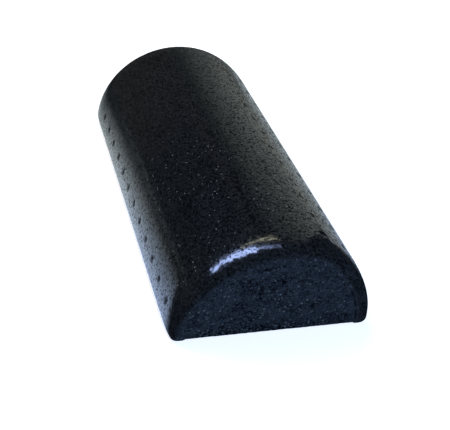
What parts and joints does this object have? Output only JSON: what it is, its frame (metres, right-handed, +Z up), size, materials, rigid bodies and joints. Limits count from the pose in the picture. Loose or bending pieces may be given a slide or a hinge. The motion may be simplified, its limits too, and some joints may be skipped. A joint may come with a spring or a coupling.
{
  "type": "half round foam roller",
  "caption": "Half round exercise roller of black moulded bead foam: a dense arched skin with rounded rims and two long rounded feet over a flat-based foam core.",
  "frame": {"origin": "on the floor under the middle of the roller, at the bottom centre of its bounding box", "axes": "+Y along the roller's length, away from the end with the filler mark; +Z up, from the feet to the crown; +X to the right when looking along +Y"},
  "size_m": [0.1518, 0.3048, 0.0762],
  "materials": {
    "moulded_skin": "dense moulded closed-cell foam, black, satin, with fine bead outlines and shallow round steam vent marks",
    "bead_foam": "moulded closed-cell bead foam, black, dull, with beads and small pits showing"
  },
  "bodies": {
    "root": {"outer_skin": "moulded_skin", "foam_core": "bead_foam"}
  },
  "joints": []
}
